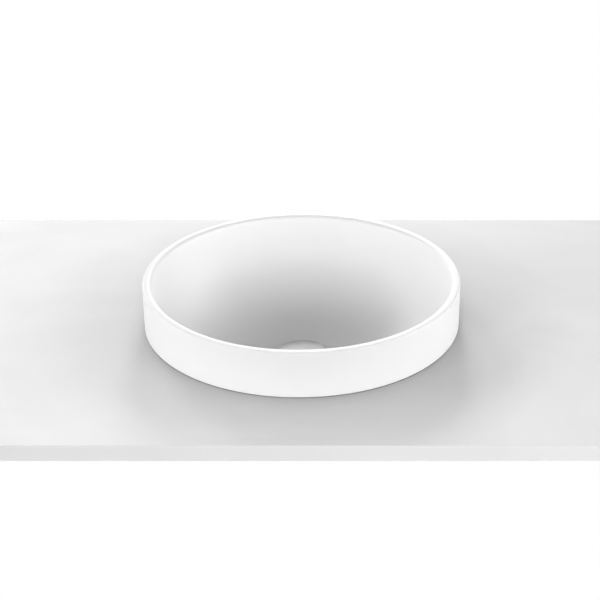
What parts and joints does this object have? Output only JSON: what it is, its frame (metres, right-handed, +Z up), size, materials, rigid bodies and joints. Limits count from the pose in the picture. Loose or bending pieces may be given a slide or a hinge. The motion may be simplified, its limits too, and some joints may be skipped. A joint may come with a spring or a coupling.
{
  "type": "semi-inset basin",
  "caption": "Round semi-inset wash basin: a plain upstand ring above the bench, a deep bowl below it, and a press-to-close waste with a domed cap.",
  "frame": {"origin": "on the basin's axis, in the plane of the bench top that the upstand's foot rests on", "axes": "+Z up along the basin's axis, -Y towards the user, +X to the user's right"},
  "size_m": [0.4, 0.4, 0.1934],
  "materials": {
    "matt_glaze": "matt white glaze",
    "chrome": "polished chrome plate over brass",
    "brass": "turned, uncoated",
    "steel": "turned stainless steel",
    "rubber": "moulded, matt",
    "acetal": "moulded acetal",
    "nylon": "moulded nylon"
  },
  "bodies": {
    "basin": {"basin_bowl": "matt_glaze", "waste_body": "chrome", "flange_gasket": "rubber", "taper_seal": "rubber", "slip_washer": "acetal", "back_nut": "brass", "cartridge_sleeve": "brass", "cartridge_o_ring": "rubber", "guide_bush": "acetal", "spring_seat": "acetal", "return_spring": "steel"},
    "plug": {"plug_cap": "chrome", "plug_seal": "rubber", "stem_lock_nut": "steel", "plunger": "steel"},
    "cam": {"cam_rotor": "nylon"}
  },
  "joints": [
    {"name": "plug_travel", "type": "slide", "parent": "basin", "child": "plug", "axis": [0, 0, 1], "range_m": [0, 0.009], "deforming": ["return_spring"]},
    {"name": "cam_turn", "type": "hinge", "parent": "plug", "child": "cam", "pos_m": [0, 0, -0.091], "axis": [0, 0, 1], "range_deg": [0, 45]}
  ],
  "couplings": [
    {"joint": "cam_turn", "follows": "plug_travel", "rad_per_m": 87.266}
  ]
}
